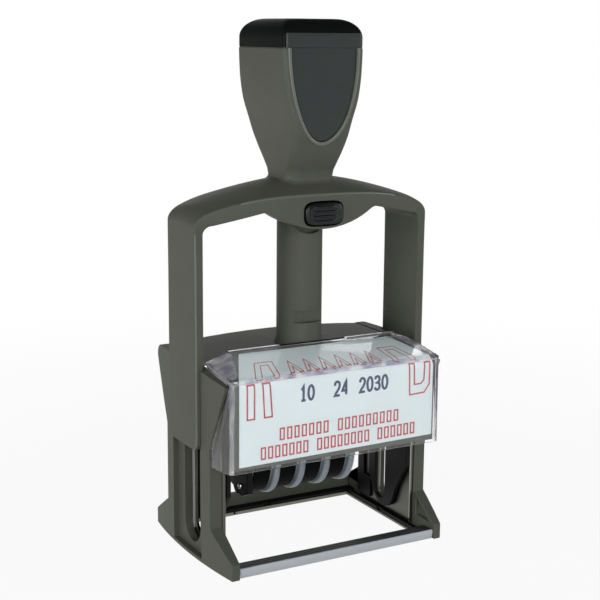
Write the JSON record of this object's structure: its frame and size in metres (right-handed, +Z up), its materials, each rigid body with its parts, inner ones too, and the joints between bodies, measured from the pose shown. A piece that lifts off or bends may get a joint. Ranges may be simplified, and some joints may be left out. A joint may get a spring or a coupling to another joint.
{
  "type": "self-inking date stamp",
  "caption": "Press-down self-inking date stamp: a bow yoke with a grip slides on a column and turns over a die with hand-set date wheels, under a pull-out ink pad.",
  "frame": {"origin": "on the desk, under the middle of the stamp's footprint", "axes": "+X across the width, to the viewer's right when the index window faces the viewer; +Y to the rear, so the index window is at -Y; +Z up along the column"},
  "size_m": [0.0822, 0.057, 0.1666],
  "materials": {
    "body_shell": "satin grey-green moulded shell",
    "black_plastic": "fine-grained black plastic",
    "gloss_black": "polished black plastic",
    "steel": "pressed or drawn bright steel",
    "aluminium_bar": "brushed and polished aluminium",
    "clear_plastic": "polished clear acrylic",
    "card": "uncoated printed card",
    "felt": "ink-soaked felt",
    "wheel_grey": "pale blue-grey moulded plastic",
    "die_rubber": "red-brown stamp rubber",
    "band_rubber": "black moulded band rubber"
  },
  "bodies": {
    "base": {"left_cheek": "body_shell", "right_cheek": "body_shell", "left_steel_plate": "steel", "right_steel_plate": "steel", "left_cam_guide": "black_plastic", "right_cam_guide": "black_plastic", "left_side_rail": "steel", "right_side_rail": "steel", "left_pad_rail": "black_plastic", "right_pad_rail": "black_plastic", "front_bar": "aluminium_bar", "rear_beam": "body_shell", "rear_rail": "steel", "top_housing": "body_shell", "index_card": "card", "guide_column": "body_shell", "column_nut": "steel", "return_spring": "steel"},
    "index_cover": {"index_window": "clear_plastic"},
    "pad_drawer": {"pad_cassette": "black_plastic", "ink_pad": "felt"},
    "handle": {"yoke": "body_shell", "grip": "body_shell", "grip_cap": "black_plastic", "front_panel": "black_plastic", "left_pivot_pin": "steel", "right_pivot_pin": "steel"},
    "lock": {"lock_button": "gloss_black"},
    "die_unit": {"die_chassis": "black_plastic", "text_plate": "wheel_grey", "rubber_die": "die_rubber", "band_anvil": "black_plastic", "left_band_bracket": "black_plastic", "right_band_bracket": "black_plastic", "wheel_axle": "steel", "date_band_1": "band_rubber", "date_band_2": "band_rubber", "date_band_3": "band_rubber", "date_band_4": "band_rubber"},
    "date_dial_1": {"date_wheel_1": "wheel_grey"},
    "date_dial_2": {"date_wheel_2": "wheel_grey"},
    "date_dial_3": {"date_wheel_3": "wheel_grey"},
    "date_dial_4": {"date_wheel_4": "wheel_grey"}
  },
  "joints": [
    {"name": "cover_slide", "type": "slide", "parent": "base", "child": "index_cover", "axis": [0, -1, 0], "range_m": [0, 0.03]},
    {"name": "cassette_slide", "type": "slide", "parent": "base", "child": "pad_drawer", "axis": [0, 1, 0], "range_m": [0, 0.06]},
    {"name": "handle_press", "type": "slide", "parent": "base", "child": "handle", "axis": [0, 0, -1], "range_m": [0, 0.034], "stiffness_N_per_m": 250, "springref_m": -0.02, "deforming": ["return_spring"]},
    {"name": "lock_press", "type": "slide", "parent": "handle", "child": "lock", "axis": [0, 1, 0], "range_m": [0, 0.002], "stiffness_N_per_m": 300, "springref_m": -0.002},
    {"name": "die_flip", "type": "hinge", "parent": "handle", "child": "die_unit", "pos_m": [0, 0, 0.043], "axis": [1, 0, 0], "range_deg": [0, 180]},
    {"name": "wheel_spin_1", "type": "hinge", "parent": "die_unit", "child": "date_dial_1", "pos_m": [-0.01406, 0, 0.028], "axis": [1, 0, 0], "continuous": true},
    {"name": "wheel_spin_2", "type": "hinge", "parent": "die_unit", "child": "date_dial_2", "pos_m": [-0.00489, 0, 0.028], "axis": [1, 0, 0], "continuous": true},
    {"name": "wheel_spin_3", "type": "hinge", "parent": "die_unit", "child": "date_dial_3", "pos_m": [0.00428, 0, 0.028], "axis": [1, 0, 0], "continuous": true},
    {"name": "wheel_spin_4", "type": "hinge", "parent": "die_unit", "child": "date_dial_4", "pos_m": [0.01345, 0, 0.028], "axis": [1, 0, 0], "continuous": true}
  ],
  "couplings": [
    {"joint": "die_flip", "follows": "handle_press", "rad_per_m": 92.399}
  ]
}
